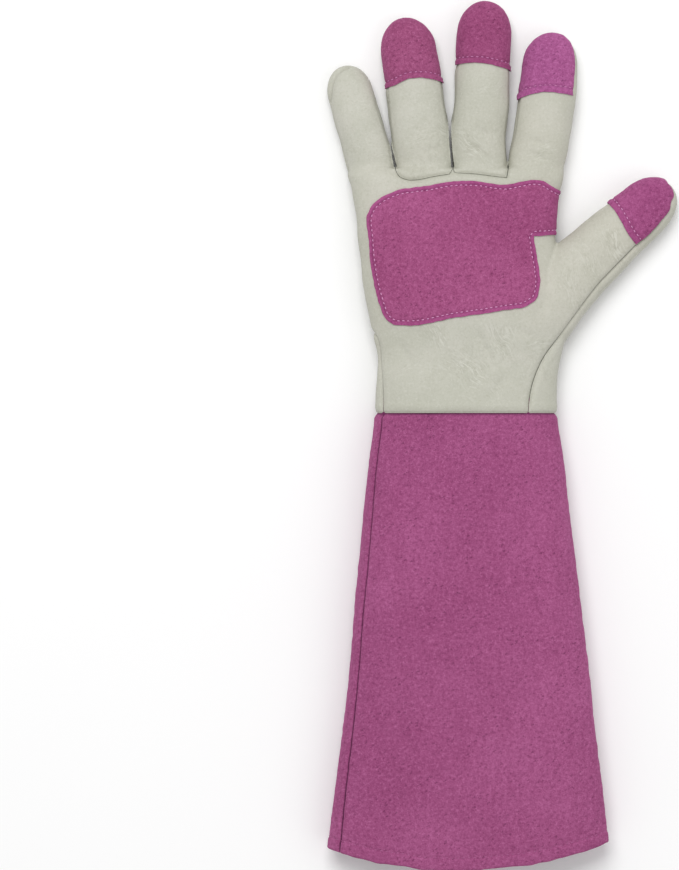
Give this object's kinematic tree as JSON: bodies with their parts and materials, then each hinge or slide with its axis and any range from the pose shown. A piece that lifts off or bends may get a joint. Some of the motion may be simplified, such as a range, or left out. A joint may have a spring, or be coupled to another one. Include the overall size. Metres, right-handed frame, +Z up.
{
  "type": "rose pruning gauntlet",
  "caption": "Right-hand leather glove with suede palm and fingertip patches, sewn to a long flared suede cuff that covers the forearm.",
  "frame": {"origin": "on the table under the middle of the gauntlet's box, with the gauntlet lying on its back", "axes": "+Y from the elbow end of the cuff to the fingertips, +X towards the thumb, +Z up out of the palm"},
  "size_m": [0.1852, 0.46, 0.0343],
  "materials": {
    "cream_leather": "smooth cream grain leather with fine wrinkles",
    "pink_suede": "matte pink suede with a short nap and small pores"
  },
  "bodies": {
    "root": {"cuff": "pink_suede", "palm_patch": "pink_suede", "thumb_tip": "pink_suede", "ring_tip": "pink_suede", "middle_tip": "pink_suede", "index_tip": "pink_suede", "palm_panel": "cream_leather", "ring_front": "cream_leather", "middle_front": "cream_leather", "back_panel": "cream_leather", "thumb_back": "cream_leather", "fourchette_little_ring": "cream_leather", "fourchette_ring_middle": "cream_leather", "fourchette_middle_index": "cream_leather"}
  },
  "joints": []
}
